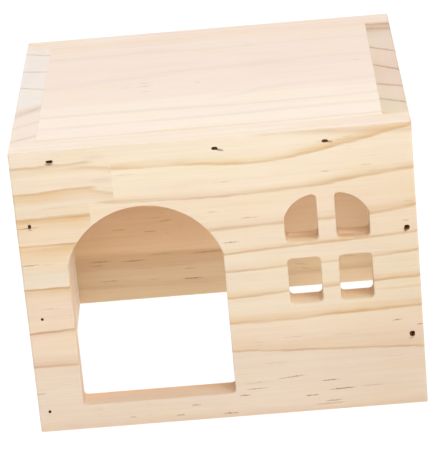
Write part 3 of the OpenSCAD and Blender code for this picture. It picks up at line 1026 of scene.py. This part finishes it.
def brad_tree():
    """One brad at every point: a flat head, a wire and a chisel point, driven along its own +Z."""
    tree = bpy.data.node_groups.new("Brads", "GeometryNodeTree")
    tree.interface.new_socket("Geometry", in_out="INPUT", socket_type="NodeSocketGeometry")
    for name in BRAD_SIZES:
        tree.interface.new_socket(name, in_out="INPUT", socket_type="NodeSocketFloat")
    tree.interface.new_socket("Turn", in_out="INPUT", socket_type="NodeSocketVector")
    tree.interface.new_socket("Wire", in_out="INPUT", socket_type="NodeSocketMaterial")
    tree.interface.new_socket("Geometry", in_out="OUTPUT", socket_type="NodeSocketGeometry")
    recipe = Recipe(tree)
    given = recipe.node("NodeGroupInput").outputs

    neck = recipe.math("ADD", given["Sink"], given["Head height"])
    end = recipe.math("ADD", given["Sink"], given["Length"])
    corner = recipe.times(given["Head height"], HEAD_CORNER)
    head_half = recipe.times(given["Head width"], 0.5)
    wire_half = recipe.times(given["Wire width"], 0.5)
    depths = (
        given["Sink"], recipe.math("ADD", given["Sink"], corner), recipe.math("SUBTRACT", neck, corner), neck,
        recipe.math("SUBTRACT", end, given["Point length"]), end,
    )
    halves = (
        recipe.times(head_half, HEAD_END), head_half, head_half, wire_half, wire_half,
        recipe.times(wire_half, POINT_END),
    )

    stick = recipe.node("GeometryNodeMeshCube", {"Size": (1, 1, 1), "Vertices Z": len(depths)})
    spot = recipe.split(recipe.node("GeometryNodeInputPosition").outputs[0])
    steps = float(len(depths) - 1)
    level = recipe.math("ROUND", recipe.times(recipe.math("ADD", spot[2], 0.5), steps))

    def by_level(values):
        """The value for this point's level along the brad."""
        switch = recipe.node("GeometryNodeIndexSwitch", {0: level}, data_type="FLOAT")
        while len(switch.index_switch_items) < len(values):
            switch.index_switch_items.new()
        for number, value in enumerate(values):
            recipe.feed(switch.inputs[number + 1], value)
        return switch.outputs[0]

    width = recipe.times(spot[0], 2.0, by_level(halves))
    place = recipe.join(width, recipe.times(spot[1], given["Wire thickness"]), by_level(depths))
    brad = recipe.node("GeometryNodeSetPosition", {"Geometry": stick.outputs[0], "Position": place})
    turn = recipe.node("FunctionNodeEulerToRotation", {0: given["Turn"]})
    row = recipe.node("GeometryNodeInstanceOnPoints", {
        "Points": given["Geometry"], "Instance": brad.outputs[0], "Rotation": turn.outputs[0],
    })
    solid = recipe.node("GeometryNodeRealizeInstances", {0: row.outputs[0]})
    wired = recipe.node("GeometryNodeSetMaterial", {"Geometry": solid.outputs[0], "Material": given["Wire"]})
    recipe.node("NodeGroupOutput", {0: wired.outputs[0]})
    return tree


def make_brads(row, tree, wire):
    """One joint's row of brads."""
    mesh = bpy.data.meshes.new("brads_" + row.node)
    mesh.from_pydata([place * MM for place in row.places], [], [])
    piece = add_object(row.node.replace("_brads", "_brad_wire"), mesh)
    turn = Matrix((row.wide, row.into.cross(row.wide), row.into)).transposed().to_euler()
    nodes = piece.modifiers.new("Brads", "NODES")
    nodes.node_group = tree
    values = {name: size * MM for name, size in BRAD_SIZES.items()}
    values.update({"Turn": tuple(turn), "Wire": wire})
    for item in tree.interface.items_tree:
        if item.in_out == "INPUT" and item.name in values:
            nodes[item.identifier] = values[item.name]
    make_plain(piece)
    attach(piece, "root")
    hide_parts(row.node)


# ---- floor, light and camera ----

def seen_directly(recipe):
    """1 for what the camera sees itself or in metal or glass, 0 for light on its way to the object."""
    ray = recipe.node("ShaderNodeLightPath").outputs
    seen = recipe.math("MAXIMUM", ray["Is Camera Ray"], ray["Is Glossy Ray"])
    return recipe.math("MAXIMUM", seen, ray["Is Transmission Ray"])


# The floor lies FLOOR_DROP millimetres under the boards, and reaches FLOOR_HALF metres each way
FLOOR_WHITENESS = 0.8
FLOOR_HALF = 4.0
FLOOR_DROP = 0.05
FLOOR_TOP, FLOOR_UNDERSIDE = (0.7, 0.7, 0.7, 1.0), (0.9, 0.9, 0.9, 1.0)


def make_floor():
    """An opal table, lit from below as the bright ground inside the house shows. It keeps a faint shadow."""
    mesh = bpy.data.meshes.new("studio_floor")
    corners = ((-1, -1), (1, -1), (1, 1), (-1, 1))
    points = [(x * FLOOR_HALF, y * FLOOR_HALF, -FLOOR_DROP * MM) for x, y in corners]
    mesh.from_pydata(points, [], [(0, 1, 2, 3)])
    floor = add_object("studio_floor", mesh)
    material, recipe = open_material("pale opal floor")
    top_side = recipe.node("ShaderNodeBsdfDiffuse", {"Color": FLOOR_TOP})
    underside = recipe.node("ShaderNodeBsdfTranslucent", {"Color": FLOOR_UNDERSIDE})
    opal = recipe.node("ShaderNodeMixShader", {0: 0.5, 1: top_side.outputs[0], 2: underside.outputs[0]})
    white = recipe.node("ShaderNodeEmission", {"Color": WHITE, "Strength": 1.0})
    share = recipe.times(seen_directly(recipe), FLOOR_WHITENESS)
    mixed = recipe.node("ShaderNodeMixShader", {0: share, 1: opal.outputs[0], 2: white.outputs[0]})
    recipe.node("ShaderNodeOutputMaterial", {0: mixed.outputs[0]})
    mesh.materials.append(material)


# How brightly the white world lights the house
SKY_FILL = 0.24


def make_sky():
    """Even light from all round, which the camera sees as plain white."""
    world = bpy.data.worlds.new("white studio")
    bpy.context.scene.world = world
    world.use_nodes = True
    world.node_tree.nodes.clear()
    recipe = Recipe(world.node_tree)
    strength = recipe.scale(seen_directly(recipe), 0.0, 1.0, SKY_FILL, 1.0)
    sky = recipe.node("ShaderNodeBackground", {"Color": WHITE, "Strength": strength})
    recipe.node("ShaderNodeOutputWorld", {0: sky.outputs[0]})


class Softbox(NamedTuple):
    """A square lamp that faces the house: its degrees to the right of the front and up, metres and watts."""
    name: str
    azimuth: float
    elevation: float
    distance: float
    size: float
    power: float


SOFTBOXES = (
    Softbox("front softbox", 10, 55, 1.2, 0.5, 2.8),
    Softbox("right softbox", 46, 50, 1.2, 0.4, 4.15),
    Softbox("back softbox", -135, 30, 1.2, 0.6, 4.7),
    Softbox("top softbox", 0, 82, 1.0, 0.6, 2.0),
    Softbox("table softbox", 0, -90, 0.9, 3.0, 47),
)


def make_softbox(softbox):
    lamp = bpy.data.lights.new(softbox.name, "AREA")
    lamp.size = softbox.size
    lamp.energy = softbox.power
    box = add_object(softbox.name, lamp)
    around, above = math.radians(softbox.azimuth), math.radians(softbox.elevation)
    way = Vector((math.sin(around) * math.cos(above), -math.cos(around) * math.cos(above), math.sin(above)))
    middle = UPRIGHT * (BOX_H / 2) * MM
    box.location = middle + way * softbox.distance
    box.rotation_euler = (-way).to_track_quat("-Z", "Y").to_euler()


# The camera that was fitted to the photograph: where it is and what it looks at in millimetres, and its tip
CAMERA_EYE, CAMERA_AIM = (25.2, -962.3, 451.1), (0.1, -65.0, 80.9)
CAMERA_TIP = math.radians(-5.27)
CAMERA_LENS, CAMERA_SENSOR = 207.2, 36


def make_camera():
    """The photograph's view: from above the front, a little to the right, the camera tipped."""
    eye, aim = Vector(CAMERA_EYE) * MM, Vector(CAMERA_AIM) * MM
    optics = bpy.data.cameras.new("camera")
    optics.lens = CAMERA_LENS
    optics.sensor_width = CAMERA_SENSOR
    optics.clip_start = 0.05
    camera = add_object("camera", optics)
    facing = (aim - eye).to_track_quat("-Z", "Y").to_matrix().to_4x4()
    camera.matrix_world = Matrix.Translation(eye) @ facing @ Matrix.Rotation(CAMERA_TIP, 4, "Z")
    bpy.context.scene.camera = camera


# ---- the house ----

bpy.context.scene.view_settings.view_transform = "Standard"
make_camera()
make_sky()
for lamp_box in SOFTBOXES:
    make_softbox(lamp_box)
make_floor()

left_side_pine = side_pine("left side pine", LEFT_MID_X, LEFT_SIDE_TONES, LEFT_END_TONES, LEFT_SIDE_RINGS, 2)
right_side_pine = side_pine("right side pine", RIGHT_MID_X, RIGHT_SIDE_TONES, RIGHT_END_TONES,
                            RIGHT_SIDE_RINGS, 3, olive=0.9)
hole_wood = hole_finish()
make_board("front_board", front_pine(), hole_wood)
make_board("back_board", back_pine(), hole_wood)
make_board("left_side_board", left_side_pine, hole_wood)
make_board("right_side_board", right_side_pine, hole_wood)
make_board("roof_board", roof_pine(), hole_wood)

wire = wire_finish()
brads = brad_tree()
for brad_row in BRAD_ROWS:
    make_brads(brad_row, brads, wire)
